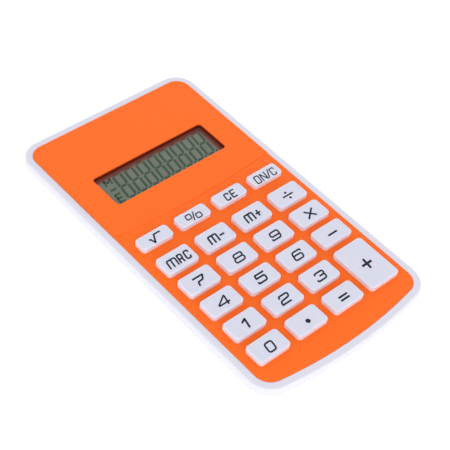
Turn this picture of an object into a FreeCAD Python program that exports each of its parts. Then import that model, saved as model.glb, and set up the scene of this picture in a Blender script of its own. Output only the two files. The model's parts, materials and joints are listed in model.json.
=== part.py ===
"""A slim desk calculator: white tray shell, orange face plate, 23 keys, LCD, circuit board and coin cell.

Millimetres, +Z up, +X to the user's right, +Y away from the user. The origin is under the middle of the
body, on the surface that the calculator stands on. Each piece is written to parts/NODE.step.
"""

import FreeCAD
import Part
import math
import os

from FreeCAD import Vector

# Body outline
body_width = 63.5
body_length = 112.0
bow_radius = 152.0  # the front edge is a shallow arc
top_corner_radius = 6.8
low_corner_radius = 7.3
rim_width = 2.3  # white margin round the face plate
plate_gap = 0.08  # between the face plate and the rim
wall_height = 2.9  # upright part of the side, below the rim
bevel_inset = 3.75  # how far the side leans in between there and the flat back
side_wall = 3.5  # outline to the cavity, beside the plate's seat
floor_side_wall = 4.2  # outline to the cavity, at the floor
rim_edge_radius = 0.55
rim_inner_radius = 0.1
bevel_edge_radius = 1.2
back_edge_radius = 1.2
plate_edge_radius = 0.25

# Heights, from the table up
foot_proud = 0.5
floor_thickness = 1.5
pcb_clearance = 1.5
pcb_thickness = 1.0
pad_thickness = 0.1
key_travel = 0.9
pill_thickness = 0.3
dome_roof = 0.4
sheet_thickness = 0.4
flange_gap = 0.05  # flange above the dome's top
flange_thickness = 0.6
key_stop_gap = 0.05  # flange below the plate
plate_thickness = 1.4
plate_proud = 0.15  # face plate above the rim
deck_step = 0.2  # display end of the plate above its key end
key_rise = 1.75  # keys above the plate

# Key field
column_pitch = 14.0
row_pitch = 9.28
top_row_pitch = 9.98
last_row_margin = 13.7  # front edge of the body to the middle of the last row
key_width = 11.0
key_length = 6.7
top_key_length = 4.7
key_corner_radius = 1.1
key_edge_radius = 0.45
key_gap = 0.06
key_wall = 1.0
key_roof = 1.0
flange_lip = 0.6
plunger_diameter = 2.4
dome_base_diameter = 6.0
dome_top_diameter = 3.6
dome_wall = 0.4
pill_diameter = 2.0
pad_diameter = 3.6

# Display
crease_margin = 5.7  # middle of the top row of keys to the crease
crease_radius = 253.0
window_width = 41.4
window_length = 12.5
window_corner_radius = 1.1
window_edge_radius = 0.15
glass_margin = 2.3  # glass past the window, all round
glass_ledge = 2.5  # rear glass past the front one, where the ribbon is bonded
glass_thickness = 0.65
film_thickness = 0.2
film_margin = 0.7  # films short of the glass, all round
lcd_gap = 0.05
frame_clearance = 0.1
frame_wall = 0.8
frame_side_wall = 1.8
frame_lip = 1.2
frame_lip_thickness = 0.45
frame_pin_diameter = 1.0
frame_pin_spread = 11.0
ribbon_width = 36.0
ribbon_thickness = 0.12
ribbon_bond = 1.8
ribbon_slope = 2.1

# Circuit board
board_gap = 0.9  # outline of the cavity at the plate's seat to the board
board_to_lcd = 2.0
sheet_inset = 0.3  # dome sheet inside the board's edge
sheet_margin = 1.2  # dome sheet past the top row's flanges
board_boss_diameter = 2.6
board_screw_diameter = 1.4
board_screw_head = 2.5
board_screw_head_height = 0.8
board_screw_length = 2.4
board_boss_edge = 2.7  # far edge of the board to its last bosses
board_boss_spread = 44.0
board_front_boss_spread = 14.0
blob_diameter = 9.0
blob_height = 1.1
chip_part_length = 2.0
chip_part_width = 1.2
chip_part_pitch = 3.0  # along a row
chip_part_gap = 3.0  # edge of the blob to the middle of each row
capacitor_height = 0.8
resistor_height = 0.5
chip_parts_a_row = 3

# Coin cell and its cover
cell_diameter = 11.6
cell_thickness = 3.05
cell_cap_diameter = 9.6
cell_cap_height = 0.3
cell_clearance = 0.5
cell_edge_radius = 0.3
bay_wall = 0.8
bay_roof = 0.8
bay_to_frame = 0.2
bay_margin = 4.65  # far edge of the body to the bay
cover_thickness = 1.4
cover_gap = 0.15
cover_ledge = 0.8
cover_margin = 1.2  # cover past the cell, front and back
cover_corner_radius = 2.0
cover_edge_radius = 0.2
cover_screw_spread = 21.2
cover_screw_margin = 2.8
cover_screw_diameter = 1.6
cover_screw_head = 2.8
cover_screw_head_height = 0.7
cover_screw_length = 2.8
contact_thickness = 0.2
contact_width = 3.0
contact_reach = 9.5  # cell's axis to the end of each contact's tab
lead_diameter = 0.8
lead_bend = 3.0
lead_margin = 1.0  # display frame to the middle of the lead
lead_overlap = 2.0  # lead past the edge of the board

# Case screws and feet
case_screw_diameter = 2.0
case_screw_head = 3.5
case_screw_head_height = 1.2
case_screw_length = 3.9
case_screw_sink = 1.7  # depth of the counterbore in the back
case_pillar_diameter = 6.0
case_boss_diameter = 3.8
far_screw_spread = 48.0
far_screw_margin = 8.0
front_screw_spread = 40.0
front_screw_margin = 7.65
pillar_web = 1.0
rib_width = 1.0
rib_spread = 49.0
foot_diameter = 7.0
foot_edge_radius = 0.2
foot_seat = 0.5
foot_spread_x = 44.0
foot_margin = 19.0  # each end of the body to the middle of its feet

# Shares of a screw's head or shank, for its cross recess and edge
recess_depth_share = 0.6
recess_arm_share = 0.3
recess_slot_share = 0.12
head_edge_share = 0.25

round_share = 0.9  # of a step or dome that its edge's rounding takes up
fit = 0.05  # radial clearance of screws and pins in their holes
slip = 0.15  # radial clearance of screws in the pieces that they clamp
over = 1.0  # how far a cutting tool runs past the surface that it cuts

# Levels that follow from the stack
back_z = foot_proud
floor_top = back_z + floor_thickness
board_bottom = floor_top + pcb_clearance
board_top = board_bottom + pcb_thickness
sheet_top = board_top + sheet_thickness
pill_bottom = board_top + pad_thickness + key_travel
dome_ceiling = pill_bottom + pill_thickness
dome_top = dome_ceiling + dome_roof
flange_bottom = dome_top + flange_gap
flange_top = flange_bottom + flange_thickness
plate_bottom = flange_top + key_stop_gap
plate_top = plate_bottom + plate_thickness
deck_top = plate_top + deck_step
key_top = plate_top + key_rise
rim_top = plate_top - plate_proud
wall_bottom = rim_top - wall_height
cover_inner = back_z + cover_thickness
cell_bottom = cover_inner + fit
cell_top = cell_bottom + cell_thickness
contact_top = cell_top + contact_thickness
bay_ceiling = contact_top + fit * 2

# Places that follow from the outline and the pieces' sizes
far_edge = body_length / 2
front_edge = -body_length / 2
plate_inset = rim_width + plate_gap
board_inset = side_wall + board_gap
bay_radius = cell_diameter / 2 + cell_clearance + bay_wall
cell_y = far_edge - bay_margin - bay_radius
frame_back = cell_y - bay_radius - bay_to_frame
glass_width = window_width + 2 * glass_margin
glass_length = window_length + 2 * glass_margin
window_y = frame_back - frame_wall - frame_clearance - glass_length / 2
glass_front = window_y - glass_length / 2 - glass_ledge
frame_half = glass_width / 2 + frame_clearance + frame_side_wall
frame_front = glass_front - frame_clearance - frame_wall
board_far_edge = glass_front - board_to_lcd
cover_width = cover_screw_spread + 2 * cover_screw_margin
cover_length = cell_diameter + 2 * cover_margin
lcd_top = plate_bottom - lcd_gap
front_glass_top = lcd_top - film_thickness
rear_glass_top = front_glass_top - glass_thickness
reflector_top = rear_glass_top - glass_thickness
frame_lip_top = reflector_top - film_thickness

KEY_ROWS = [  # far row first; None is filled by the tall key
    ["sqrt", "percent", "ce", "on_c"],
    ["mrc", "m_minus", "m_plus", "divide"],
    ["7", "8", "9", "multiply"],
    ["4", "5", "6", "minus"],
    ["1", "2", "3", None],
    ["0", "point", "equals", None],
]


# Basic shapes


def outline(inset, z):
    """The body's outline moved inwards by inset, as a closed wire at height z."""
    half = body_width / 2 - inset
    far = far_edge - inset
    bow = bow_radius - inset
    r_far = top_corner_radius - inset
    r_low = low_corner_radius - inset
    bow_y = front_edge + bow_radius
    low_y = bow_y - math.sqrt((bow - r_low) ** 2 - (half - r_low) ** 2)
    slant = math.atan2(half - r_low, bow_y - low_y)  # of the line from the bow's centre to the corner's
    tangent = Vector(bow * math.sin(slant), bow_y - bow * math.cos(slant), z)
    middle = (slant + math.pi / 2) / 2
    diagonal = r_far * math.sqrt(0.5)
    low_x = half - r_low
    far_x = half - r_far
    low_mid = Vector(low_x + r_low * math.sin(middle), low_y - r_low * math.cos(middle), z)
    far_mid = Vector(far_x + diagonal, far - r_far + diagonal, z)

    def mirrored(p):
        return Vector(-p.x, p.y, p.z)

    side_low = Vector(half, low_y, z)
    side_far = Vector(half, far - r_far, z)
    corner = Vector(far_x, far, z)
    edges = [
        Part.makeLine(side_low, side_far),
        Part.Arc(side_far, far_mid, corner).toShape(),
        Part.makeLine(corner, mirrored(corner)),
        Part.Arc(mirrored(corner), mirrored(far_mid), mirrored(side_far)).toShape(),
        Part.makeLine(mirrored(side_far), mirrored(side_low)),
        Part.Arc(mirrored(side_low), mirrored(low_mid), mirrored(tangent)).toShape(),
        Part.Arc(mirrored(tangent), Vector(0, front_edge + inset, z), tangent).toShape(),
        Part.Arc(tangent, low_mid, side_low).toShape(),
    ]
    return Part.Wire(edges)


def prism(inset, low, high):
    """The body's outline moved inwards by inset, from height low to high."""
    return Part.Face(outline(inset, low)).extrude(Vector(0, 0, high - low))


def taper(low_inset, low, high_inset, high):
    """Like prism, with another inset at its top."""
    return Part.makeLoft([outline(low_inset, low), outline(high_inset, high)], True, True)


def block(x0, x1, y0, y1, z0, z1):
    return Part.makeBox(x1 - x0, y1 - y0, z1 - z0, Vector(x0, y0, z0))


def rounded(x, y, width, length, radius, low, high):
    """A box about x, y with its upright edges rounded."""
    box = block(x - width / 2, x + width / 2, y - length / 2, y + length / 2, low, high)
    upright = [e for e in box.Edges if e.BoundBox.ZLength > (high - low) / 2]
    return box.makeFillet(radius, upright)


def rod(x, y, diameter, low, high):
    return Part.makeCylinder(diameter / 2, high - low, Vector(x, y, low))


def cone(x, y, low_diameter, high_diameter, low, high):
    return Part.makeCone(low_diameter / 2, high_diameter / 2, high - low, Vector(x, y, low))


def flat_edges(shape, z, inside=None):
    """The edges of shape that lie at height z, and within the box x0, x1, y0, y1 if it is given."""
    found = []
    for edge in shape.Edges:
        box = edge.BoundBox
        if box.ZLength > 1e-4 or abs(box.ZMin - z) > 1e-4:
            continue
        if inside:
            x0, x1, y0, y1 = inside
            if box.XMin < x0 or box.XMax > x1 or box.YMin < y0 or box.YMax > y1:
                continue
        found.append(edge)
    return found


def around(x, y, width, length):
    """A box just larger than width by length about x, y, for flat_edges."""
    return x - width / 2 - fit, x + width / 2 + fit, y - length / 2 - fit, y + length / 2 + fit


def joined(shapes):
    return shapes[0].multiFuse(shapes[1:]).removeSplitter()


def without(shape, tools):
    return shape.cut(Part.makeCompound(tools))


def screw(x, y, head_low, head, head_height, diameter, length):
    """A pan-head screw that points up, with a cross recess in its head."""
    seat = head_low + head_height
    tip = diameter / 2
    body = joined([
        rod(x, y, head, head_low, seat),
        rod(x, y, diameter, seat - fit, seat + length - tip),
        cone(x, y, diameter, diameter / 2, seat + length - tip, seat + length),
    ])
    body = body.makeFillet(head_height * head_edge_share, flat_edges(body, head_low))
    depth = head_height * recess_depth_share
    arm = head * recess_arm_share
    slot = diameter * recess_slot_share
    recess = [
        block(x - arm, x + arm, y - slot, y + slot, head_low - over, head_low + depth),
        block(x - slot, x + slot, y - arm, y + arm, head_low - over, head_low + depth),
    ]
    return without(body, recess)


# Places of repeated pieces


def row_y(row):
    """The middle of a row of keys, where row 0 is the far one."""
    last = front_edge + last_row_margin
    rows_below_top = len(KEY_ROWS) - 2
    if row == 0:
        return last + rows_below_top * row_pitch + top_row_pitch
    return last + (rows_below_top - row + 1) * row_pitch


def column_x(column):
    return (column - (len(KEY_ROWS[0]) - 1) / 2) * column_pitch


def keys():
    """Each key's name, middle, width and length."""
    found = []
    for row, names in enumerate(KEY_ROWS):
        length = top_key_length if row == 0 else key_length
        for column, name in enumerate(names):
            if name:
                found.append((name, column_x(column), row_y(row), key_width, length))
    last = len(KEY_ROWS) - 1
    middle = (row_y(last - 1) + row_y(last)) / 2
    tall = key_length + row_pitch
    found.append(("plus", column_x(len(KEY_ROWS[0]) - 1), middle, key_width, tall))
    return found


def case_screw_places():
    far_y = far_edge - far_screw_margin
    front_y = front_edge + front_screw_margin
    places = [(side * far_screw_spread / 2, far_y) for side in (-1, 1)]
    return places + [(side * front_screw_spread / 2, front_y) for side in (-1, 1)]


def board_screw_places():
    far_y = board_far_edge - board_boss_edge
    top_gap = row_y(0) - top_key_length / 2 + row_y(1) + key_length / 2
    front_y = front_edge + front_screw_margin
    places = []
    for side in (-1, 1):
        places.append((side * board_boss_spread / 2, far_y))
        places.append((side * column_pitch, top_gap / 2))
        places.append((side * board_front_boss_spread / 2, front_y))
    return places


def cover_screw_places():
    return [(side * cover_screw_spread / 2, cell_y) for side in (-1, 1)]


def foot_places():
    ends = (far_edge - foot_margin, front_edge + foot_margin)
    return [(side * foot_spread_x / 2, y) for side in (-1, 1) for y in ends]


def frame_pin_places():
    x = glass_width / 2 + frame_clearance + frame_side_wall / 2
    shifts = (-frame_pin_spread / 2, frame_pin_spread / 2)
    return [(side * x, window_y + shift) for side in (-1, 1) for shift in shifts]


# Casing


def back_shell():
    outer = joined([taper(bevel_inset, back_z, 0, wall_bottom), prism(0, wall_bottom, rim_top)])
    outer = outer.makeFillet(rim_edge_radius, flat_edges(outer, rim_top))
    outer = outer.makeFillet(bevel_edge_radius, flat_edges(outer, wall_bottom))
    outer = outer.makeFillet(back_edge_radius, flat_edges(outer, back_z))
    shell = without(outer, [
        taper(floor_side_wall, floor_top, side_wall, wall_bottom),
        prism(side_wall, wall_bottom, plate_bottom + over / 2),
        prism(rim_width, plate_bottom, rim_top + over),
    ])
    within = around(0, 0, body_width - 2 * rim_width, body_length - 2 * rim_width)
    shell = shell.makeFillet(rim_inner_radius, flat_edges(shell, rim_top, within))
    return without(joined([shell] + shell_insides()), shell_cuts())


def shell_insides():
    """Screw pillars, board ribs and the battery bay, inside the tray."""
    sink_top = back_z + case_screw_sink + pillar_web
    insides = [rod(x, y, case_pillar_diameter, back_z + fit, sink_top) for x, y in case_screw_places()]
    rib_near = row_y(len(KEY_ROWS) - 1)
    for side in (-1, 1):
        x = side * rib_spread / 2
        rib = block(x - rib_width / 2, x + rib_width / 2, rib_near, row_y(0), back_z + fit, board_bottom - fit)
        insides.append(rib)
    ledge_top = cover_inner + cover_ledge
    pad_width = cover_width + 2 * (cover_gap + bay_wall)
    pad_length = cover_length + 2 * cover_gap
    insides.append(rounded(0, cell_y, pad_width, pad_length, cover_corner_radius, back_z + fit, ledge_top))
    insides.append(rod(0, cell_y, 2 * bay_radius, back_z + fit, bay_ceiling + bay_roof))
    boss_top = back_z + cover_screw_head_height + cover_screw_length + slip
    for x, y in cover_screw_places():
        insides.append(rod(x, y, cover_screw_diameter + 2 * bay_wall, back_z + fit, boss_top))
    return insides


def shell_cuts():
    """Counterbores, foot seats, the cover's recess, the cell's bay and the slots for its contacts."""
    cuts = []
    sink = back_z + case_screw_sink
    for x, y in case_screw_places():
        cuts.append(rod(x, y, case_screw_head + 2 * slip, back_z - over, sink))
        cuts.append(rod(x, y, case_screw_diameter + 2 * slip, sink - fit, sink + pillar_web + over))
    for x, y in foot_places():
        cuts.append(rod(x, y, foot_diameter + 2 * fit, back_z - over, back_z + foot_seat))
    recess_width = cover_width + 2 * cover_gap
    recess_length = cover_length + 2 * cover_gap
    radius = cover_corner_radius + cover_gap
    cuts.append(rounded(0, cell_y, recess_width, recess_length, radius, back_z - over, cover_inner))
    cell_hole = cell_diameter + 2 * cell_clearance
    cuts.append(rod(0, cell_y, cell_hole, back_z, bay_ceiling))
    for x, y in cover_screw_places():
        cuts.append(rod(x, y, cover_screw_diameter + 2 * fit, cover_inner - fit, bay_ceiling))
    half = contact_width / 2 + slip
    outside = bay_radius + over
    low = cover_inner + cover_ledge
    cuts.append(block(-outside, 0, cell_y - half, cell_y + half, cell_top - fit, bay_ceiling))
    cuts.append(block(0, outside, cell_y - half, cell_y + half, low, bay_ceiling))
    return cuts


def deck_region():
    """Everything beyond the crease, which is an arc that bulges towards the user."""
    apex = row_y(0) + crease_margin
    reach = body_width
    rise = crease_radius - math.sqrt(crease_radius**2 - reach**2)
    left = Vector(-reach, apex + rise, plate_bottom - over)
    right = Vector(reach, apex + rise, plate_bottom - over)
    far = Vector(0, body_length, 0)
    arc = Part.Arc(left, Vector(0, apex, plate_bottom - over), right).toShape()
    lines = Part.makePolygon([right, right + far, left + far, left])
    face = Part.Face(Part.Wire([arc] + lines.Edges))
    return face.extrude(Vector(0, 0, plate_thickness + 3 * over))


def front_plate():
    key_end = prism(plate_inset, plate_bottom, plate_top)
    key_end = key_end.makeFillet(plate_edge_radius, flat_edges(key_end, plate_top))
    deck = prism(plate_inset, plate_bottom, deck_top).common(deck_region())
    deck = deck.makeFillet(deck_step * round_share, flat_edges(deck, deck_top))
    plate = key_end.fuse(deck)
    tools = [
        rounded(x, y, w + 2 * key_gap, n + 2 * key_gap, key_corner_radius + key_gap, plate_bottom - over,
                deck_top + over)
        for _, x, y, w, n in keys()
    ]
    tools.append(rounded(0, window_y, window_width, window_length, window_corner_radius,
                         plate_bottom - over, deck_top + over))
    plate = without(plate, tools)
    brink = flat_edges(plate, deck_top, around(0, window_y, window_width, window_length))
    plate = plate.makeFillet(window_edge_radius, brink)
    return without(joined([plate] + plate_bosses()), plate_pilots())


def plate_bosses():
    inside = plate_bottom + plate_thickness / 2
    low = back_z + case_screw_sink + pillar_web + fit
    bosses = [rod(x, y, case_boss_diameter, low, inside) for x, y in case_screw_places()]
    bosses += [rod(x, y, board_boss_diameter, board_top, inside) for x, y in board_screw_places()]
    return bosses + [rod(x, y, frame_pin_diameter, frame_lip_top, inside) for x, y in frame_pin_places()]


def plate_pilots():
    bottom = back_z + case_screw_sink
    depth = case_screw_length + 2 * fit
    pilots = [rod(x, y, case_screw_diameter + 2 * fit, bottom, bottom + depth) for x, y in case_screw_places()]
    depth = board_screw_length + 2 * fit
    for x, y in board_screw_places():
        pilots.append(rod(x, y, board_screw_diameter + 2 * fit, board_bottom, board_bottom + depth))
    return pilots


def keycap(x, y, width, length):
    """A hollow cap with a flange that the face plate holds in, and a plunger over its rubber dome."""
    cap = rounded(x, y, width, length, key_corner_radius, flange_bottom, key_top)
    cap = cap.makeFillet(key_edge_radius, flat_edges(cap, key_top))
    flange = rounded(x, y, width + 2 * flange_lip, length + 2 * flange_lip, key_corner_radius + flange_lip,
                     flange_bottom, flange_top)
    hollow = rounded(x, y, width - 2 * key_wall, length - 2 * key_wall, key_corner_radius / 2,
                     flange_bottom - over, key_top - key_roof)
    shell = without(joined([cap, flange]), [hollow])
    return joined([shell, rod(x, y, plunger_diameter, dome_top, key_top - key_roof / 2)])


def rubber_feet():
    feet = []
    for x, y in foot_places():
        foot = rod(x, y, foot_diameter, 0, back_z + foot_seat)
        feet.append(foot.makeFillet(foot_edge_radius, flat_edges(foot, 0)))
    return Part.makeCompound(feet)


def case_screws():
    low = back_z + case_screw_sink - case_screw_head_height
    return Part.makeCompound([
        screw(x, y, low, case_screw_head, case_screw_head_height, case_screw_diameter, case_screw_length)
        for x, y in case_screw_places()
    ])


# Circuit board and dome sheet


def board_outline(inset, far, low, high):
    blank = prism(board_inset + inset, low, high)
    return blank.common(block(-body_width, body_width, front_edge, far, low, high))


def boss_clearances(low, high):
    """Holes and notches round the face plate's long screw bosses."""
    size = case_boss_diameter + 4 * slip
    return [rod(x, y, size, low - over, high + over) for x, y in case_screw_places()]


def circuit_board():
    board = board_outline(0, board_far_edge, board_bottom, board_top)
    holes = boss_clearances(board_bottom, board_top)
    for x, y in board_screw_places():
        holes.append(rod(x, y, board_screw_diameter + 2 * slip, board_bottom - over, board_top + over))
    return without(board, holes)


def board_screws():
    low = board_bottom - board_screw_head_height
    return Part.makeCompound([
        screw(x, y, low, board_screw_head, board_screw_head_height, board_screw_diameter, board_screw_length)
        for x, y in board_screw_places()
    ])


def carbon_pads():
    high = board_top + pad_thickness
    return Part.makeCompound([rod(x, y, pad_diameter, board_top, high) for _, x, y, _, _ in keys()])


def dome_sheet():
    far = row_y(0) + top_key_length / 2 + flange_lip + sheet_margin
    sheet = board_outline(sheet_inset, far, board_top, sheet_top)
    domes = []
    hollows = []
    for _, x, y, _, _ in keys():
        domes.append(cone(x, y, dome_base_diameter, dome_top_diameter, sheet_top - fit, dome_top))
        hollow = cone(x, y, dome_base_diameter - 2 * dome_wall, dome_top_diameter - 2 * dome_wall,
                      board_top - fit, dome_ceiling)
        hollows.append(hollow.cut(rod(x, y, pill_diameter, pill_bottom, dome_ceiling + over)))
    holes = boss_clearances(board_top, sheet_top)
    for x, y in board_screw_places():
        holes.append(rod(x, y, board_boss_diameter + 2 * slip, board_top - over, sheet_top + over))
    return without(joined([sheet] + domes), hollows + holes)


def chip_blob():
    """Black resin over the bare chip, a flattened dome on the board's underside."""
    x, y = column_pitch / 2, row_y(2)
    blob = rod(x, y, blob_diameter, board_bottom - blob_height, board_bottom)
    return blob.makeFillet(blob_height * round_share, flat_edges(blob, board_bottom - blob_height))


def chip_parts():
    """Surface-mounted capacitors and resistors in two rows beside the chip."""
    parts = []
    half_length = chip_part_length / 2
    half_width = chip_part_width / 2
    for side, height in ((-1, capacitor_height), (1, resistor_height)):
        x = column_pitch / 2 + side * (blob_diameter / 2 + chip_part_gap)
        for n in range(chip_parts_a_row):
            y = row_y(2) + (n - (chip_parts_a_row - 1) / 2) * chip_part_pitch
            parts.append(block(x - half_length, x + half_length, y - half_width, y + half_width,
                               board_bottom - height, board_bottom))
    return Part.makeCompound(parts)


# Display


def lcd_slab(shrink, ledge, low, high):
    half = glass_width / 2 - shrink
    near = window_y - glass_length / 2 + shrink - ledge
    return block(-half, half, near, window_y + glass_length / 2 - shrink, low, high)


def lcd_frame():
    outer = block(-frame_half, frame_half, frame_front, frame_back, frame_lip_top - frame_lip_thickness,
                  plate_bottom - fit)
    seat = lcd_slab(-frame_clearance, glass_ledge, frame_lip_top, plate_bottom + over)
    opening = lcd_slab(frame_lip, glass_ledge - frame_lip, board_top - over, frame_lip_top + over)
    mouth = ribbon_width / 2 + frame_lip
    ribbon_way = block(-mouth, mouth, frame_front - over, glass_front + frame_lip, board_top - over,
                       plate_bottom + over)
    holes = [rod(x, y, frame_pin_diameter + 2 * fit, frame_lip_top - fit, plate_bottom + over)
             for x, y in frame_pin_places()]
    return without(outer, [seat, opening, ribbon_way] + holes)


def lcd_ribbon():
    """A heat-bonded film from the rear glass's ledge down to the board."""
    bond = glass_front + ribbon_bond
    lip = glass_front - slip
    foot = lip - ribbon_slope
    end = foot - ribbon_bond
    lower = [(bond, rear_glass_top), (lip, rear_glass_top), (foot, board_top), (end, board_top)]
    upper = [(y, z + ribbon_thickness) for y, z in reversed(lower)]
    points = [Vector(-ribbon_width / 2, y, z) for y, z in lower + upper + lower[:1]]
    return Part.Face(Part.makePolygon(points)).extrude(Vector(ribbon_width, 0, 0))


# Coin cell, contacts and cover


def battery_cell():
    can_top = cell_top - cell_cap_height
    can = rod(0, cell_y, cell_diameter, cell_bottom, can_top)
    can = can.makeFillet(cell_edge_radius, flat_edges(can, cell_bottom) + flat_edges(can, can_top))
    return joined([can, rod(0, cell_y, cell_cap_diameter, can_top - fit, cell_top)])


def negative_contact():
    """A leaf over the cell's cap, which passes through the bay's wall to a solder tab."""
    half = contact_width / 2
    return block(-contact_reach, cell_diameter / 6, cell_y - half, cell_y + half, cell_top, contact_top)


def positive_contact():
    """A bent leaf against the cell's can."""
    half = contact_width / 2
    face = cell_diameter / 2 + fit
    low = cover_inner + cover_ledge + fit
    upright = block(face, face + contact_thickness, cell_y - half, cell_y + half, low, contact_top)
    tab = block(face, contact_reach, cell_y - half, cell_y + half, cell_top, contact_top)
    return joined([upright, tab])


def battery_lead(side):
    """A wire from a contact's tab, round the display's frame and onto the board."""
    z = board_top + lead_diameter / 2
    x = side * (frame_half + lead_margin)
    start = Vector(side * contact_reach, cell_y, z)
    turn_in = Vector(x - side * lead_bend, cell_y, z)
    diagonal = lead_bend * (1 - math.sqrt(0.5))
    turn_mid = Vector(x - side * diagonal, cell_y - diagonal, z)
    turn_out = Vector(x, cell_y - lead_bend, z)
    end = Vector(x, board_far_edge - lead_overlap, z)
    path = Part.Wire([
        Part.makeLine(start, turn_in),
        Part.Arc(turn_in, turn_mid, turn_out).toShape(),
        Part.makeLine(turn_out, end),
    ])
    ring = Part.Wire([Part.makeCircle(lead_diameter / 2, start, Vector(side, 0, 0))])
    return path.makePipeShell([ring], True, False)


def battery_cover():
    cover = rounded(0, cell_y, cover_width, cover_length, cover_corner_radius, back_z, cover_inner)
    cover = cover.makeFillet(cover_edge_radius, flat_edges(cover, back_z))
    head_seat = back_z + cover_screw_head_height + fit
    tools = []
    for x, y in cover_screw_places():
        tools.append(rod(x, y, cover_screw_head + 2 * slip, back_z - over, head_seat))
        tools.append(rod(x, y, cover_screw_diameter + 2 * fit, back_z, cover_inner + over))
    return without(cover, tools)


def cover_screws():
    low = back_z + fit
    return Part.makeCompound([
        screw(x, y, low, cover_screw_head, cover_screw_head_height, cover_screw_diameter, cover_screw_length)
        for x, y in cover_screw_places()
    ])


pieces = {
    "back_shell": back_shell(),
    "front_plate": front_plate(),
    "rubber_feet": rubber_feet(),
    "case_screws": case_screws(),
    "circuit_board": circuit_board(),
    "board_screws": board_screws(),
    "carbon_pads": carbon_pads(),
    "dome_sheet": dome_sheet(),
    "chip_blob": chip_blob(),
    "chip_parts": chip_parts(),
    "lcd_frame": lcd_frame(),
    "lcd_front_polarizer": lcd_slab(film_margin, 0, front_glass_top, lcd_top),
    "lcd_front_glass": lcd_slab(0, 0, rear_glass_top, front_glass_top),
    "lcd_rear_glass": lcd_slab(0, glass_ledge, reflector_top, rear_glass_top),
    "lcd_reflector": lcd_slab(film_margin, 0, frame_lip_top, reflector_top),
    "lcd_ribbon": lcd_ribbon(),
    "battery_cell": battery_cell(),
    "battery_contact_negative": negative_contact(),
    "battery_contact_positive": positive_contact(),
    "battery_lead_negative": battery_lead(-1),
    "battery_lead_positive": battery_lead(1),
    "battery_cover": battery_cover(),
    "battery_cover_screws": cover_screws(),
}
for key_name, key_x, key_y, width, length in keys():
    pieces["key_" + key_name] = keycap(key_x, key_y, width, length)

os.makedirs("parts", exist_ok=True)
for node, shape in pieces.items():
    shape.exportStep("parts/" + node + ".step")
    print(f"{node}: {len(shape.Solids)} solids, {shape.Volume:.2f} mm3, valid {shape.isValid()}")
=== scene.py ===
"""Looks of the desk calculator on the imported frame: materials, legends, display segments, rubber domes."""

import bpy
import bmesh
import json
import math
from mathutils import Matrix, Vector

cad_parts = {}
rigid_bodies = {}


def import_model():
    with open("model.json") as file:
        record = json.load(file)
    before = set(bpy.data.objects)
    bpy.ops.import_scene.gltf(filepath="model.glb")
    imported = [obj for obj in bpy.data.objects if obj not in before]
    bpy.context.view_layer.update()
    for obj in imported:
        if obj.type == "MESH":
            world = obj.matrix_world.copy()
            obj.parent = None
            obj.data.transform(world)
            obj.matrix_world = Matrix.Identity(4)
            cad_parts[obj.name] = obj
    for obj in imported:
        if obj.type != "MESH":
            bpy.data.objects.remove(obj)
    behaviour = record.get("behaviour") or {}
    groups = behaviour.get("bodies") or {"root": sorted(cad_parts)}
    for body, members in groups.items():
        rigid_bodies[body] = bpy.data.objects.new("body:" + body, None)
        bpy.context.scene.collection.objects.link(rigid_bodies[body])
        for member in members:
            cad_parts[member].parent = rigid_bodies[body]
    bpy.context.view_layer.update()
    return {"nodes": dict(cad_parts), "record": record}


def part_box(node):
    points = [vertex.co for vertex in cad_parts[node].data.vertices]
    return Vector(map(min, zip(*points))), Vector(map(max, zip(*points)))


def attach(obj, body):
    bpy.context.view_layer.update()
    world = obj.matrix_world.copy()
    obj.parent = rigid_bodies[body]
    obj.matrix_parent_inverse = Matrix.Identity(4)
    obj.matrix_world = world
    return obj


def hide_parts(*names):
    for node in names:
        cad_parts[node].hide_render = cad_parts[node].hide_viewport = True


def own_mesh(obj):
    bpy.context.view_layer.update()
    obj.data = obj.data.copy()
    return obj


MM = 0.001  # metres. Named sizes are in millimetres, unless their comment says otherwise.

for leftover in list(bpy.data.objects):
    bpy.data.objects.remove(leftover)
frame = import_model()
nodes = frame["nodes"]
key_nodes = [name for name in nodes if name.startswith("key_")]

# Heights in metres: the face plate's highest point and the display film's face
plate_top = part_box("front_plate")[1].z
film_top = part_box("lcd_front_polarizer")[1].z

# The display window's box, taken a little wider than the opening so that it takes in the window's walls
WINDOW_SLACK = 0.55
window_opening = frame["record"]["physics"]["openings"][0]["box_m"]
window_slack = Vector((WINDOW_SLACK, WINDOW_SLACK, 0)) * MM
window = (Vector(window_opening[0]) - window_slack, Vector(window_opening[1]) + window_slack)

# Colours, as linear light
SHELL_WHITE = (0.705, 0.695, 0.785)
PLATE_ORANGE = (0.99, 0.155, 0.014)
# painted shade on the display window's walls, darkest towards the glass
WINDOW_WALL_PAINTED_SHADE = (0.12, 0.009, 0.003)
KEY_WHITE = (0.68, 0.685, 0.79)
KEY_WALL_PAINTED_BOUNCE = (0.83, 0.7, 0.71)  # painted orange bounce light from the plate, at the foot of the key walls
INK = (0.007, 0.008, 0.024)
LCD_GREY = (0.197, 0.225, 0.172)
LCD_SEGMENT = (0.07, 0.105, 0.078)
LCD_SHADOW = (0.14, 0.172, 0.128)
# painted shade and reflection of the window's walls, round the display's edge
LCD_WALL_SHADE_AND_REFLECTION = (0.205, 0.053, 0.042)
MASK_GREENS = ((0.02, 0.12, 0.05), (0.025, 0.14, 0.06))
TRACE_GREEN = (0.08, 0.3, 0.12)

# Where the painted shades start and end
PAINTED_BOUNCE_HEIGHT = 1.3  # above the plate, where the painted bounce light on the key walls ends
WALL_SHADE_START = 0.0  # below the plate's highest point, where a window wall starts to darken
WALL_SHADE_END = 0.7
EDGE_SHADE_FULL = 0.3  # in from the window's walls, where the display's painted shade and wall reflection starts to fade
EDGE_SHADE_END = 2.6
EDGE_SHADE_NARROWING = 2.0  # the painted shade and reflection is this many times narrower at the near and left walls
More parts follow.
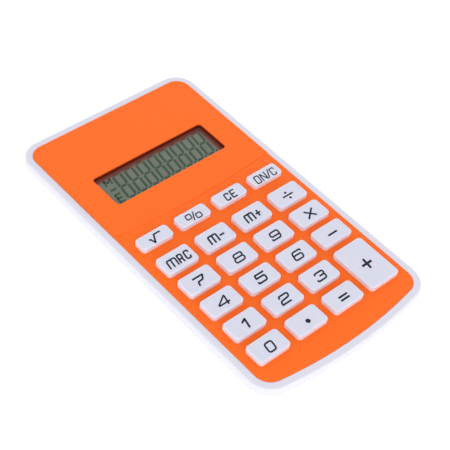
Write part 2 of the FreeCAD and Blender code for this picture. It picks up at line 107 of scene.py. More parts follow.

# Other material numbers
LCD_METALLIC = 0.86  # how much of the display, inside its painted edge shade, is the reflector's mirror
NOISE_SPAN = (0.3, 0.7)  # where most of a noise's values lie
SCATTER_WEIGHT = 0.6
SCATTER_RADIUS = (1, 0.75, 0.7)  # how far red, green and blue scatter, as shares of the whole distance
TRACE_PITCH = 2.2
TRACE_WIDTH = 0.06  # share of the pitch
TRACE_DEPTH = 0.03


# Material building blocks


def new_material(name):
    """A material with a Principled shader. Returns the material, its node tree and the shader."""
    made = bpy.data.materials.new(name)
    made.use_nodes = True
    return made, made.node_tree, made.node_tree.nodes["Principled BSDF"]


def object_place(tree):
    """The place in the object's own space, which is the frame's at rest."""
    return tree.nodes.new("ShaderNodeTexCoord").outputs["Object"]


def object_axes(tree):
    """The X, Y and Z of that place."""
    made = tree.nodes.new("ShaderNodeSeparateXYZ")
    tree.links.new(object_place(tree), made.inputs["Vector"])
    return made.outputs["X"], made.outputs["Y"], made.outputs["Z"]


def noise(tree, size_mm, detail=2.0):
    """Noise in object space whose features are about size_mm across."""
    made = tree.nodes.new("ShaderNodeTexNoise")
    made.inputs["Scale"].default_value = 1 / (size_mm * MM)
    made.inputs["Detail"].default_value = detail
    tree.links.new(object_place(tree), made.inputs["Vector"])
    return made.outputs["Fac"]


def ramp(tree, value, start, end, low=0.0, high=1.0, smooth=False):
    """Goes from low, where value is start, to high, where it is end."""
    made = tree.nodes.new("ShaderNodeMapRange")
    if smooth:
        made.interpolation_type = "SMOOTHSTEP"
    made.inputs["From Min"].default_value = start
    made.inputs["From Max"].default_value = end
    made.inputs["To Min"].default_value = low
    made.inputs["To Max"].default_value = high
    tree.links.new(value, made.inputs["Value"])
    return made.outputs["Result"]


def spread(tree, value, low, high):
    """Maps the usual span of a noise to low..high."""
    return ramp(tree, value, *NOISE_SPAN, low, high)


def math_node(tree, operation, first, second):
    """One step of arithmetic on two values, each a number or a socket."""
    made = tree.nodes.new("ShaderNodeMath")
    made.operation = operation
    for value, socket in ((first, made.inputs[0]), (second, made.inputs[1])):
        if isinstance(value, bpy.types.NodeSocket):
            tree.links.new(value, socket)
        else:
            socket.default_value = value
    return made.outputs[0]


def between(tree, value, low, high):
    """1 where value lies between low and high, else 0."""
    above = math_node(tree, "GREATER_THAN", value, low)
    below = math_node(tree, "LESS_THAN", value, high)
    return math_node(tree, "MULTIPLY", above, below)


def mixed(tree, factor, first, second):
    """The colour first where factor is 0 and second where it is 1. Each is a colour or a socket."""
    made = tree.nodes.new("ShaderNodeMix")
    made.data_type = "RGBA"
    tree.links.new(factor, made.inputs["Factor"])
    for value, socket in ((first, made.inputs["A"]), (second, made.inputs["B"])):
        if isinstance(value, bpy.types.NodeSocket):
            tree.links.new(value, socket)
        else:
            socket.default_value = (*value, 1)
    return made.outputs["Result"]


def shade(colour, factor):
    """The colour made lighter or darker."""
    return tuple(c * factor for c in colour)


def bump(tree, shader, height, depth_mm):
    """Raises the surface by up to depth_mm where height is 1."""
    made = tree.nodes.new("ShaderNodeBump")
    made.inputs["Distance"].default_value = depth_mm * MM
    made.inputs["Strength"].default_value = 1.0
    tree.links.new(height, made.inputs["Height"])
    tree.links.new(made.outputs["Normal"], shader.inputs["Normal"])


def surface(name, colour, rough=(0.35, 0.45), vary=0.03, patch_mm=9.0, grain_mm=0.25,
            grain_depth_mm=0.004, metal=0.0, specular=0.5, scatter_mm=0.0):
    """A moulded, stamped or printed surface: faint colour patches, uneven gloss and a fine grain."""
    made, tree, shader = new_material(name)
    patches = spread(tree, noise(tree, patch_mm), 0, 1)
    tint = mixed(tree, patches, shade(colour, 1 - vary), shade(colour, 1 + vary))
    tree.links.new(tint, shader.inputs["Base Color"])
    tree.links.new(spread(tree, noise(tree, patch_mm / 3, 4), *rough), shader.inputs["Roughness"])
    bump(tree, shader, noise(tree, grain_mm, 3), grain_depth_mm)
    shader.inputs["Metallic"].default_value = metal
    shader.inputs["Specular IOR Level"].default_value = specular
    if scatter_mm:
        shader.inputs["Subsurface Weight"].default_value = SCATTER_WEIGHT
        shader.inputs["Subsurface Radius"].default_value = SCATTER_RADIUS
        shader.inputs["Subsurface Scale"].default_value = scatter_mm * MM
    return made


def opened(material):
    """A surface's node tree, its shader and the colour that reaches the shader so far."""
    tree = material.node_tree
    shader = tree.nodes["Principled BSDF"]
    return tree, shader, shader.inputs["Base Color"].links[0].from_socket


# The materials that need more than a surface


def plate_material():
    """Orange plastic. The upright walls of the display window fade to a painted shade of brown towards the
    glass, standing in for the shade deep in the recess.
    """
    made = surface("plate_orange", PLATE_ORANGE, rough=(0.4, 0.52), vary=0.01, grain_mm=0.22,
                   grain_depth_mm=0.003, specular=0.16)
    tree, shader, plain = opened(made)
    x, y, z = object_axes(tree)
    low, high = window
    inside = math_node(tree, "MULTIPLY", between(tree, x, low.x, high.x), between(tree, y, low.y, high.y))
    depth = ramp(tree, z, plate_top - WALL_SHADE_START * MM, plate_top - WALL_SHADE_END * MM)
    wall_shade_mask = math_node(tree, "MULTIPLY", inside, depth)
    # the window's walls darken with painted shade towards the glass
    tree.links.new(mixed(tree, wall_shade_mask, plain, WINDOW_WALL_PAINTED_SHADE), shader.inputs["Base Color"])
    return made


def lcd_material(name, colour):
    """The display seen through its film: mostly mirror-like, from the reflector, with a dark red, matt band
    of painted shade and painted reflection of the window's walls along them, narrower at the near and left
    ones."""
    made = surface(name, colour, rough=(0.22, 0.27), vary=0.06, patch_mm=5.0, grain_mm=0.4,
                   grain_depth_mm=0.0006)
    tree, shader, plain = opened(made)
    x, y = object_axes(tree)[:2]
    low, high = window
    right = math_node(tree, "SUBTRACT", high.x, x)
    far = math_node(tree, "SUBTRACT", high.y, y)
    left = math_node(tree, "MULTIPLY", math_node(tree, "SUBTRACT", x, low.x), EDGE_SHADE_NARROWING)
    near_side = math_node(tree, "MULTIPLY", math_node(tree, "SUBTRACT", y, low.y), EDGE_SHADE_NARROWING)
    inside = math_node(tree, "MINIMUM", right, far)
    inside = math_node(tree, "MINIMUM", inside, left)
    inside = math_node(tree, "MINIMUM", inside, near_side)
    clear = ramp(tree, inside, EDGE_SHADE_FULL * MM, EDGE_SHADE_END * MM, smooth=True)
    # painted shade and reflection of the walls round the display's edge
    tree.links.new(mixed(tree, clear, LCD_WALL_SHADE_AND_REFLECTION, plain), shader.inputs["Base Color"])
    tree.links.new(math_node(tree, "MULTIPLY", clear, LCD_METALLIC), shader.inputs["Metallic"])
    return made


def key_material():
    """White plastic, with the orange plate's bounce light painted on at the foot of its walls."""
    made = surface("key_white", KEY_WHITE, rough=(0.4, 0.5), vary=0.008, grain_mm=0.2,
                   grain_depth_mm=0.003, specular=0.4, scatter_mm=0.5)
    tree, shader, plain = opened(made)
    rise = ramp(tree, object_axes(tree)[2], plate_top, plate_top + PAINTED_BOUNCE_HEIGHT * MM)
    # painted orange bounce light, strongest at the foot of the key walls
    tree.links.new(mixed(tree, rise, KEY_WALL_PAINTED_BOUNCE, plain), shader.inputs["Base Color"])
    return made


def laminate_material():
    """Circuit board laminate under a green solder mask, with the lighter lines of its traces."""
    made, tree, shader = new_material("board_laminate")
    traces = tree.nodes.new("ShaderNodeTexBrick")
    tree.links.new(object_place(tree), traces.inputs["Vector"])
    traces.inputs["Scale"].default_value = 1 / (TRACE_PITCH * MM)
    traces.inputs["Mortar Size"].default_value = TRACE_WIDTH
    traces.inputs["Color1"].default_value = (*MASK_GREENS[0], 1)
    traces.inputs["Color2"].default_value = (*MASK_GREENS[1], 1)
    traces.inputs["Mortar"].default_value = (*TRACE_GREEN, 1)
    tree.links.new(traces.outputs["Color"], shader.inputs["Base Color"])
    tree.links.new(spread(tree, noise(tree, 2, 4), 0.3, 0.45), shader.inputs["Roughness"])
    bump(tree, shader, traces.outputs["Fac"], TRACE_DEPTH)
    return made


# Materials for the CAD nodes


def coat(material, *names):
    """Gives the material to every slot of these frame nodes."""
    for name in names:
        materials = nodes[name].data.materials
        if len(materials) == 0:
            materials.append(material)
        for slot in range(len(materials)):
            materials[slot] = material


steel = surface("screw_steel", (0.55, 0.55, 0.56), rough=(0.25, 0.4), metal=1.0, grain_mm=0.1,
                grain_depth_mm=0.003)
shell = surface("shell_white", SHELL_WHITE, rough=(0.3, 0.42), vary=0.01, grain_mm=0.3, grain_depth_mm=0.003,
                specular=0.4)
bronze = surface("contact_bronze", (0.75, 0.55, 0.3), rough=(0.2, 0.35), metal=1.0, grain_mm=0.1)
glass = surface("lcd_glass", (0.55, 0.62, 0.55), rough=(0.05, 0.1), grain_mm=3.0, grain_depth_mm=0.0005)
coat(shell, "back_shell", "battery_cover")
coat(plate_material(), "front_plate")
coat(key_material(), *key_nodes)
coat(surface("foot_rubber", (0.16, 0.16, 0.17), rough=(0.75, 0.9), vary=0.1, grain_mm=0.3,
             grain_depth_mm=0.02), "rubber_feet")
coat(steel, "case_screws", "board_screws", "battery_cover_screws")
coat(laminate_material(), "circuit_board")
coat(surface("carbon_ink", (0.02, 0.02, 0.02), rough=(0.5, 0.7), grain_mm=0.15), "carbon_pads")
rubber = surface("dome_rubber", (0.5, 0.52, 0.5), rough=(0.5, 0.65), grain_mm=0.4)
coat(rubber, "dome_sheet")
coat(surface("chip_resin", (0.012, 0.012, 0.012), rough=(0.12, 0.3), grain_mm=1.5, grain_depth_mm=0.03),
     "chip_blob")
coat(surface("chip_ceramic", (0.42, 0.3, 0.18), rough=(0.4, 0.6), grain_mm=0.2), "chip_parts")
coat(surface("frame_black", (0.02, 0.02, 0.021), rough=(0.4, 0.6), grain_mm=0.3), "lcd_frame")
coat(lcd_material("lcd_face", LCD_GREY), "lcd_front_polarizer")
coat(glass, "lcd_front_glass", "lcd_rear_glass")
coat(surface("reflector_foil", (0.6, 0.63, 0.58), rough=(0.3, 0.45), metal=0.9, grain_mm=0.1),
     "lcd_reflector")
coat(surface("ribbon_film", (0.5, 0.24, 0.05), rough=(0.25, 0.35), grain_mm=0.5), "lcd_ribbon")
coat(surface("cell_steel", (0.62, 0.61, 0.58), rough=(0.18, 0.3), metal=1.0, grain_mm=0.15), "battery_cell")
coat(bronze, "battery_contact_negative", "battery_contact_positive")
coat(surface("lead_black", (0.02, 0.02, 0.02), rough=(0.45, 0.6), grain_mm=0.4), "battery_lead_negative")
coat(surface("lead_red", (0.5, 0.02, 0.015), rough=(0.45, 0.6), grain_mm=0.4), "battery_lead_positive")


# Flat marks: a legend or a segment is a set of thin plates

MARK_DEPTH = 0.01  # how far a mark reaches under the surface that it is printed on
BEND_STEPS = 6  # in a rounded corner
CIRCLE_STEPS = 24
SAME_POINT = 1e-3
SHARPEST_MITRE = 0.5  # a corner's edges stand out by at most 1 / this times the half width


class Marks:
    """Collects thin closed plates, in millimetres, then makes one mesh of them."""

    def __init__(self):
        self.points = []
        self.faces = []

    def strip(self, left, right, low, high, closed=False):
        """A plate between two rows of points, from height low to high. Closed, its ends meet."""
        count = len(left)
        first = len(self.points)
        for row, z in ((left, high), (right, high), (left, low), (right, low)):
            self.points += [(x, y, z) for x, y in row]
        for n in range(count if closed else count - 1):
            a, b = n, (n + 1) % count
            top_a, top_b = first + a, first + b
            right_a, right_b = first + count + a, first + count + b
            low_a, low_b = first + 2 * count + a, first + 2 * count + b
            under_a, under_b = first + 3 * count + a, first + 3 * count + b
            self.faces.append((right_a, right_b, top_b, top_a))
            self.faces.append((top_a, top_b, low_b, low_a))
            self.faces.append((right_b, right_a, under_a, under_b))
            self.faces.append((low_a, low_b, under_b, under_a))
        if not closed:
            self.faces.append((first, first + 2 * count, first + 3 * count, first + count))
            last = count - 1
            self.faces.append((first + count + last, first + 3 * count + last, first + 2 * count + last,
                               first + last))

    def slab(self, outline, low, high):
        """A plate with a convex outline."""
        first = len(self.points)
        count = len(outline)
        self.points += [(x, y, high) for x, y in outline] + [(x, y, low) for x, y in outline]
        self.faces.append(tuple(range(first, first + count)))
        self.faces.append(tuple(range(first + 2 * count - 1, first + count - 1, -1)))
        for n in range(count):
            a, b = first + n, first + (n + 1) % count
            self.faces.append((b, a, a + count, b + count))

    def made(self, name, material):
        """The plates as one object in metres."""
        mesh = bpy.data.meshes.new(name)
        mesh.from_pydata([tuple(c * MM for c in p) for p in self.points], [], self.faces)
        mesh.validate()
        mesh.materials.append(material)
        piece = bpy.data.objects.new(name, mesh)
        bpy.context.scene.collection.objects.link(piece)
        return piece


def rounded_path(corners, radius, closed):
    """The path through the corners, each rounded by up to radius, or by its own third number."""
    path = []
    count = len(corners)
    for n, corner in enumerate(corners):
        here = Vector(corner[:2])
        bend = corner[2] if len(corner) > 2 else radius
        if not closed and n in (0, count - 1):
            path.append(here)
            continue
        before = Vector(corners[n - 1][:2])
        after = Vector(corners[(n + 1) % count][:2])
        reach = min(bend, (before - here).length / 2, (after - here).length / 2)
        start = here + (before - here).normalized() * reach
        end = here + (after - here).normalized() * reach
        for step in range(BEND_STEPS + 1):
            t = step / BEND_STEPS
            path.append(start * (1 - t) ** 2 + here * 2 * t * (1 - t) + end * t**2)
    clean = [path[0]]
    for p in path[1:]:
        if (p - clean[-1]).length > SAME_POINT:
            clean.append(p)
    if closed and (clean[0] - clean[-1]).length < SAME_POINT:
        clean.pop()
    return clean


def sides(path, width, closed):
    """The two edges of a stroke of this width along the path."""
    left, right = [], []
    count = len(path)
    for n, p in enumerate(path):
        before = path[n - 1] if closed or n > 0 else None
        after = path[(n + 1) % count] if closed or n < count - 1 else None
        incoming = (p - before).normalized() if before is not None else (after - p).normalized()
        outgoing = (after - p).normalized() if after is not None else incoming
        across = Vector((-(incoming.y + outgoing.y), incoming.x + outgoing.x)).normalized()
        stretch = 1 / max(SHARPEST_MITRE, across.dot(Vector((-incoming.y, incoming.x))))
        left.append(p + across * width / 2 * stretch)
        right.append(p - across * width / 2 * stretch)
    return left, right


def circle(x, y, radius):
    """The outline of a dot."""
    turns = [2 * math.pi * n / CIRCLE_STEPS for n in range(CIRCLE_STEPS)]
    return [(x + radius * math.cos(a), y + radius * math.sin(a)) for a in turns]


# Printed legends. A stroke is a pair: its corners, measured from the glyph's lower left, and whether it is
# closed. A corner's third number, if any, is its own rounding.


def box_path(x, y, width, height):
    """The corners of an upright rectangle."""
    return [(x, y), (x + width, y), (x + width, y + height), (x, y + height)]


def shifted(strokes, dx, dy=0.0):
    """The strokes moved by dx and dy."""
    return [([(p[0] + dx, p[1] + dy, *p[2:]) for p in points], closed) for points, closed in strokes]


def scaled(strokes, width, height):
    """The strokes stretched by these factors."""
    return [([(p[0] * width, p[1] * height, *p[2:]) for p in points], closed) for points, closed in strokes]


# How far a glyph leans to the right for each millimetre of its height
SLANTED = math.tan(math.radians(13))
LEANING = math.tan(math.radians(9))
UPRIGHT = math.tan(math.radians(6))

LETTER_M = [
    ([(0, -0.2), (0, 2.65, 0.5), (1.4, 2.65, 0.4), (1.4, -0.2)], False),
    ([(0.95, 2.65), (2.85, 2.65, 0.5), (2.85, -0.2)], False),
]
LETTER_R = [
    ([(0, -0.2), (0, 2.72, 0.1), (1.3, 2.72), (1.3, 1.2), (0, 1.2)], False),
    ([(1.0, 1.2), (1.35, -0.2)], False),
]
LETTER_C = [([(1.4, 2.0), (1.4, 2.72), (0, 2.72), (0, 0), (1.4, 0), (1.4, 0.8)], False)]
LETTER_E = [
    ([(1.6, 2.85), (0, 2.85, 0.1), (0, 0, 0.1), (1.6, 0)], False),
    ([(0, 1.45), (1.35, 1.45)], False),
]
LETTER_O = [(box_path(0, 0, 1.5, 2.85), True)]
LETTER_N = [([(0, -0.15), (0, 2.85, 0.05), (1.65, 0, 0.05), (1.65, 3.0)], False)]
SLASH = [([(0, -0.1), (1.15, 3.1)], False)]
SMALL_MINUS = [([(0, 0), (1.7, 0)], False)]
SMALL_PLUS = [([(0, 1.15), (1.8, 1.15)], False), ([(0.9, 0), (0.9, 2.3)], False)]

WORD_CE = LETTER_C + shifted(LETTER_E, 2.35)
WORD_ON_C = LETTER_O + shifted(LETTER_N, 2.25) + shifted(SLASH, 4.35) + shifted(LETTER_C, 5.95)
WORD_MRC = LETTER_M + shifted(LETTER_R, 3.68) + shifted(LETTER_C, 6.0)

# Each legend: slant, stroke width, corner radius, strokes
LEGENDS = {
    "0": (LEANING, 0.52, 0.75, [(box_path(0, 0, 2.45, 2.95), True)]),
    "1": (SLANTED, 0.61, 0.12, [([(0, 2.3), (1.35, 3.05), (1.35, 0)], False)]),
    "2": (SLANTED, 0.54, 0.75, [
        ([(0.1, 1.95), (0.1, 2.8), (3.2, 2.8), (3.2, 1.5), (0, 1.15), (0, 0, 0.1), (3.15, 0)], False)]),
    "3": (SLANTED, 0.53, 0.65, [
        ([(0.1, 2.12), (0.1, 2.7), (3.1, 2.7), (3.1, 1.42), (1.25, 1.42)], False),
        ([(2.15, 1.42), (3.15, 1.42), (3.15, 0), (0, 0), (0, 0.62)], False)]),
    "4": (SLANTED, 0.5, 0.12, [
        ([(3.75, 0.85), (0.1, 0.85, 0.15), (0, 1.1, 0.15), (2.9, 3.2, 0.35), (2.9, 0)], False)]),
    "5": (SLANTED, 0.57, 0.7, [
        ([(3.4, 2.85), (0.2, 2.85, 0.1), (0.1, 1.75, 0.15), (3.15, 1.75), (3.15, 0), (0.1, 0),
          (0.1, 0.7)], False)]),
    "6": (SLANTED, 0.53, 0.75, [
        ([(3.2, 2.25), (3.2, 2.85), (0.1, 2.85), (0, 0), (3.1, 0), (3.1, 1.6), (0.05, 1.6)], False)]),
    "7": (SLANTED, 0.57, 0.35, [([(0, 2.9), (3.6, 2.9, 0.2), (2.95, 1.48), (1.3, 1.38), (1.2, 0)], False)]),
    "8": (SLANTED, 0.51, 0.7, [
        (box_path(0.2, 1.5, 2.9, 1.35), True), (box_path(0, 0, 3.3, 1.5), True)]),
    "9": (SLANTED, 0.52, 0.75, [
        ([(0.05, 0.57), (0.05, 0), (3.2, 0), (3.2, 2.7), (0.1, 2.7), (0.1, 1.18), (3.15, 1.18)], False)]),
    "point": (0, 0, 0, []),
    "equals": (UPRIGHT, 0.61, 0, [([(0, 0), (3.3, 0)], False), ([(0, 1.15), (3.3, 1.15)], False)]),
    "plus": (UPRIGHT, 0.77, 0, [([(0, 1.85), (3.7, 1.85)], False), ([(1.85, 0), (1.85, 3.7)], False)]),
    "minus": (0, 0.6, 0, [([(0, 0), (3.5, 0)], False)]),
    "multiply": (UPRIGHT, 0.57, 0, [([(0, 0), (3.4, 2.9)], False), ([(0.2, 2.9), (3.2, 0)], False)]),
    "divide": (0, 0.5, 0, [([(0, 1.15), (3.9, 1.15)], False)]),
    "sqrt": (0, 0.51, 0.08, [([(0, 1.55), (0.5, 1.7), (1.0, 0), (2.4, 2.68), (4.65, 2.68)], False)]),
    "percent": (LEANING, 0.39, 0.45, [
        (box_path(0, 1.15, 1.75, 1.7), True), (box_path(3.2, 0.1, 1.75, 1.7), True),
        ([(1.9, 0), (3.0, 3.0)], False)]),
    "ce": (LEANING, 0.46, 0.4, scaled(WORD_CE, 0.97, 0.9)),
    "on_c": (LEANING, 0.38, 0.45, scaled(WORD_ON_C, 1.03, 0.98)),
    "mrc": (LEANING, 0.52, 0.5, WORD_MRC),
    "m_minus": (LEANING, 0.57, 0.5, LETTER_M + shifted(SMALL_MINUS, 3.65, 1.3)),
    "m_plus": (LEANING, 0.57, 0.5, LETTER_M + shifted(SMALL_PLUS, 3.7, 0.2)),
}
# Round dots of a legend: x, y, radius
DOTS = {"point": [(0, 0, 0.73)], "divide": [(1.95, 2.3, 0.4), (1.95, 0, 0.4)]}
# Where a legend is printed off its usual place: to the right and away
NUDGES = {
    "sqrt": (0.2, -0.05), "ce": (0.1, 0), "on_c": (-0.2, -0.1), "mrc": (0.1, -0.05),
    "m_minus": (0, -0.1), "m_plus": (-0.1, -0.1), "divide": (-0.2, 0), "multiply": (0.1, 0.1),
    "2": (0.3, 0), "3": (-0.1, -0.05), "4": (0.1, 0.1), "5": (0.2, 0.1), "6": (0.1, 0),
    "0": (0.1, -0.15), "point": (0.1, -0.05), "equals": (-0.1, -0.1), "plus": (-0.2, -0.05),
}
INK_HEIGHT = 0.02  # of the ink above the key
INK_STEP = 0.002  # each stroke's top is this much lower than the one before, so no two share a plane
LEGEND_DROP = 0.48  # from the middle of the key towards its near end


def legend(name, ink):
    """The printed legend of one key, near the middle of its top."""
    slant, width, radius, strokes = LEGENDS[name]
    low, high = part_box("key_" + name)
    middle = (low + high) / 2 / MM
    top = high.z / MM
    every = [p for points, _ in strokes for p in points] + DOTS.get(name, [])
    xs = [p[0] + slant * p[1] for p in every]
    ys = [p[1] for p in every]
    nudge = NUDGES.get(name, (0, 0))
    dx = middle.x - (min(xs) + max(xs)) / 2 + nudge[0]
    dy = middle.y - (min(ys) + max(ys)) / 2 - LEGEND_DROP + nudge[1]

    def placed(p):
        """A point of a stroke, slanted and on the key."""
        return (p[0] + slant * p[1] + dx, p[1] + dy)

    marks = Marks()
    for n, (points, closed) in enumerate(strokes):
        path = rounded_path(points, radius, closed)
        left, right = sides(path, width, closed)
        ink_top = top + INK_HEIGHT - INK_STEP * n
        marks.strip([placed(p) for p in left], [placed(p) for p in right], top - MARK_DEPTH, ink_top, closed)
    for x, y, size in DOTS.get(name, []):
        dot = [(a + dx, b + dy) for a, b in circle(x, y, size)]
        marks.slab(dot, top - MARK_DEPTH, top + INK_HEIGHT)
    piece = marks.made("legend_" + name, ink)
    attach(piece, "key_" + name + "_cap")


ink = surface("legend_ink", INK, rough=(0.4, 0.6), vary=0.2, patch_mm=1.0, grain_mm=0.12, specular=0.3)
for key_name in LEGENDS:
    legend(key_name, ink)


# Display segments

DIGITS = 8
DIGIT_PITCH = 4.34
DIGIT_WIDTH = 2.65  # between the middles of the upright segments
DIGIT_RISE = 9.6  # between the middles of the top and bottom segments
SEGMENT_WIDTH = 0.72
SEGMENT_GAP = 0.14
POINT_GAP = 0.35  # between an upright segment's middle and the point
DIGIT_LEAN = math.tan(math.radians(7.5))
FIRST_DIGIT = (-13.5, 27.62)  # the middle of the leftmost digit
SIGNS_OFFSET = 3.75  # from the first digit's middle to the signs', on the left
SEGMENT_HEIGHT = 0.01  # above the film's face
SHADOW_HEIGHT = 0.004
SHADOW_SHIFT = (0.3, 0.28)  # where the segments' shadow falls on the reflector

# The signs' strokes and stroke widths, from the top: memory, minus, and the error sign's two
SIGN_BARS = [
    ([(-1.05, 2.5), (-1.05, 4.6), (0, 3.4), (1.05, 4.6), (1.05, 2.5)], 0.55),
    ([(-0.95, 0.35), (0.95, 0.35)], 0.65),
    ([(1.05, -1.7), (-0.75, -1.7), (-0.75, -4.85), (1.05, -4.85)], 0.62),
    ([(-0.75, -3.25), (0.9, -3.25)], 0.62),
]
SIGN_ROUNDING = 0.05


def segment(marks, start, end, width, place, low, high):
    """One bar with pointed ends, from start to end."""
    a, b = Vector(start), Vector(end)
    along = (b - a).normalized()
    across = Vector((-along.y, along.x)) * width / 2
    tip = along * width / 2
    outline = [a, a + tip - across, b - tip - across, b, b - tip + across, a + tip + across]
    marks.slab([place(p) for p in outline], low, high)


def leaning(x, y):
    """The function that places a digit's point round x, y."""
    return lambda p: (x + p[0] + DIGIT_LEAN * p[1], y + p[1])


def digit(marks, x, y, low, high):
    """All seven segments and the point of a digit centred on x, y."""
    half, rise, gap = DIGIT_WIDTH / 2, DIGIT_RISE / 2, SEGMENT_GAP
    place = leaning(x, y)
    for level in (-rise, 0, rise):
        segment(marks, (-half + gap, level), (half - gap, level), SEGMENT_WIDTH, place, low, high)
    for side in (-half, half):
        segment(marks, (side, -rise + gap), (side, -gap), SEGMENT_WIDTH, place, low, high)
        segment(marks, (side, gap), (side, rise - gap), SEGMENT_WIDTH, place, low, high)
    point_start, point_end = (half + POINT_GAP, -rise), (DIGIT_PITCH - half - POINT_GAP, -rise)
    segment(marks, point_start, point_end, SEGMENT_WIDTH, place, low, high)


def signs(marks, x, y, low, high):
    """The memory, minus and error signs at the display's left end, one above the other."""
    place = leaning(x, y)
    for points, width in SIGN_BARS:
        left, right = sides(rounded_path(points, SIGN_ROUNDING, False), width, False)
        marks.strip([place(p) for p in left], [place(p) for p in right], low, high)


def display(name, shift, height, material):
    """All of the display's marks, moved by shift in the film's plane and height above its face."""
    marks = Marks()
    x0, y0 = FIRST_DIGIT[0] + shift[0], FIRST_DIGIT[1] + shift[1]
    low, high = film_top / MM - MARK_DEPTH, film_top / MM + height
    for n in range(DIGITS):
        digit(marks, x0 + n * DIGIT_PITCH, y0, low, high)
    signs(marks, x0 - SIGNS_OFFSET, y0, low, high)
    piece = marks.made(name, material)
    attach(piece, "housing")


display("lcd_segment_shadows", SHADOW_SHIFT, SHADOW_HEIGHT, lcd_material("lcd_shadow", LCD_SHADOW))
display("lcd_segments", (0, 0), SEGMENT_HEIGHT, lcd_material("lcd_segment", LCD_SEGMENT))


# Rubber domes: the sheet cut into one closed piece round each key's dome, and one for the rest

DOME_REACH = 3.05  # from a dome's middle to past its foot
SAME_VERTEX = 1e-7  # metres


def rubber_piece(name, mesh_bm):
    """A closed piece of the rubber sheet, riding on the housing in place of the CAD sheet."""
    mesh = bpy.data.meshes.new(name)
    mesh_bm.to_mesh(mesh)
    mesh_bm.free()
    mesh.materials.clear()
    mesh.materials.append(rubber)
    piece = bpy.data.objects.new(name, mesh)
    bpy.context.scene.collection.objects.link(piece)
    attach(piece, "housing")
    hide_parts("dome_sheet")
    return piece


def in_dome(verts, middle):
    """Whether all these vertices lie in the dome round this middle."""
    return all((v.co.xy - middle).length < DOME_REACH * MM for v in verts)


def close_rings(mesh_bm, middles):
    """Joins the open ring on top of the sheet, round each middle, to the one under it."""
    for middle in middles:
        rings = [e for e in mesh_bm.edges if len(e.link_faces) == 1 and in_dome(e.verts, middle)]
        bmesh.ops.bridge_loops(mesh_bm, edges=rings)
    bmesh.ops.recalc_face_normals(mesh_bm, faces=mesh_bm.faces)


def rubber_part(middles, kept):
    """A copy of the CAD sheet with only the faces that kept chooses."""
    made = bmesh.new()
    made.from_mesh(nodes["dome_sheet"].data)
    bmesh.ops.remove_doubles(made, verts=made.verts, dist=SAME_VERTEX)
    bmesh.ops.delete(made, geom=[f for f in made.faces if not kept(f)], context="FACES")
    close_rings(made, middles)
    return made


dome_middles = {name: ((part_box(name)[0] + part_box(name)[1]) / 2).xy for name in key_nodes}
rubber_piece("rubber_sheet", rubber_part(
    dome_middles.values(),
    lambda face: not any(in_dome(face.verts, middle) for middle in dome_middles.values())))
for name, middle in dome_middles.items():
    dome = rubber_piece("rubber_dome_" + name.removeprefix("key_"),
                        rubber_part([middle], lambda face: in_dome(face.verts, middle)))
    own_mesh(dome)


# Studio and camera

FLOOR_REACH = 3.0  # metres
FLOOR_COLOUR = (0.92, 0.92, 0.92)
FLOOR_ROUGHNESS = 0.9
FLOOR_GLOW = 0.22
SKY = (0.98, 0.99, 1.0)
HORIZON_STRENGTH = 1.85
ZENITH_STRENGTH = 0.42
BELOW_STRENGTH = 0.9
LAMPS = [("soft_key", (-0.45, -0.6, 0.9), 0.7, 3.2)]  # name, place and size in metres, watts

# Fitted to the outline and the key grid in the photograph
CAMERA_PLACE = (-182.16, -165.49, 272.19)
CAMERA_FORWARD = (0.50483, 0.45311, -0.73474)
CAMERA_RIGHT = (0.74444, -0.65941, 0.10484)
CAMERA_LENS = 100.6
CAMERA_SHIFT = (-0.0011, 0.0011)
CAMERA_SENSOR = 36
CAMERA_CLIP = 0.01  # metres


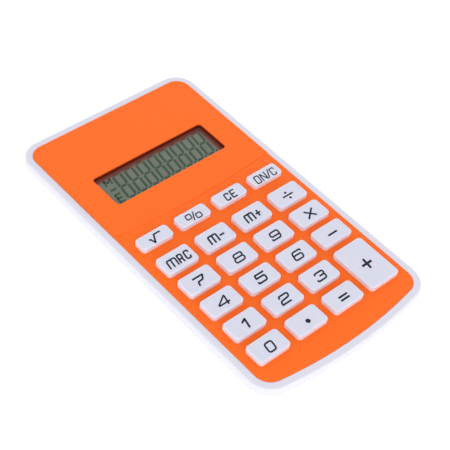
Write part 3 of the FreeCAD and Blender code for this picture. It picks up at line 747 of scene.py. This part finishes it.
def floor():
    """A pale floor that is clear from below, so that the back can be seen."""
    reach = FLOOR_REACH
    mesh = bpy.data.meshes.new("floor")
    corners = [(-reach, -reach, 0), (reach, -reach, 0), (reach, reach, 0), (-reach, reach, 0)]
    mesh.from_pydata(corners, [], [(0, 1, 2, 3)])
    made = bpy.data.objects.new("floor", mesh)
    bpy.context.scene.collection.objects.link(made)
    material, tree, shader = new_material("floor_white")
    shader.inputs["Base Color"].default_value = (*FLOOR_COLOUR, 1)
    shader.inputs["Roughness"].default_value = FLOOR_ROUGHNESS
    shader.inputs["Emission Color"].default_value = (1, 1, 1, 1)
    shader.inputs["Emission Strength"].default_value = FLOOR_GLOW
    side = tree.nodes.new("ShaderNodeNewGeometry")
    clear = tree.nodes.new("ShaderNodeBsdfTransparent")
    either = tree.nodes.new("ShaderNodeMixShader")
    tree.links.new(side.outputs["Backfacing"], either.inputs["Fac"])
    tree.links.new(shader.outputs["BSDF"], either.inputs[1])
    tree.links.new(clear.outputs["BSDF"], either.inputs[2])
    tree.links.new(either.outputs["Shader"], tree.nodes["Material Output"].inputs["Surface"])
    mesh.materials.append(material)


def tent():
    """A tent of light that is brightest at the horizon, dimmer overhead, and the same all over below it."""
    world = bpy.data.worlds.new("studio")
    world.use_nodes = True
    tree = world.node_tree
    background = tree.nodes["Background"]
    background.inputs["Color"].default_value = (*SKY, 1)
    place = tree.nodes.new("ShaderNodeTexCoord")
    axes = tree.nodes.new("ShaderNodeSeparateXYZ")
    tree.links.new(place.outputs["Generated"], axes.inputs["Vector"])
    height = axes.outputs["Z"]
    above = math_node(tree, "GREATER_THAN", height, 0.0)
    fade = ramp(tree, height, 0.0, 1.0, HORIZON_STRENGTH, ZENITH_STRENGTH)
    extra = math_node(tree, "SUBTRACT", fade, BELOW_STRENGTH)
    strength = math_node(tree, "ADD", math_node(tree, "MULTIPLY", above, extra), BELOW_STRENGTH)
    tree.links.new(strength, background.inputs["Strength"])
    bpy.context.scene.world = world


def lamps():
    """Soft square lamps that face the middle of the frame."""
    for name, place, size, power in LAMPS:
        data = bpy.data.lights.new(name, "AREA")
        data.size = size
        data.energy = power
        lamp = bpy.data.objects.new(name, data)
        lamp.location = place
        lamp.rotation_euler = (-Vector(place)).to_track_quat("-Z", "Y").to_euler()
        bpy.context.scene.collection.objects.link(lamp)


def camera():
    """The photograph's viewing angle: from above at the front left, with a small roll."""
    data = bpy.data.cameras.new("camera")
    data.sensor_width = CAMERA_SENSOR
    data.lens = CAMERA_LENS
    data.shift_x, data.shift_y = CAMERA_SHIFT
    data.clip_start = CAMERA_CLIP
    made = bpy.data.objects.new("camera", data)
    made.location = Vector(CAMERA_PLACE) * MM
    forward = Vector(CAMERA_FORWARD)
    right = Vector(CAMERA_RIGHT)
    up = right.cross(forward)
    turn = Matrix((right, up, -forward)).transposed()
    made.rotation_euler = turn.to_euler()
    bpy.context.scene.collection.objects.link(made)
    bpy.context.scene.camera = made


floor()
tent()
lamps()
camera()
bpy.context.scene.view_settings.view_transform = "Standard"
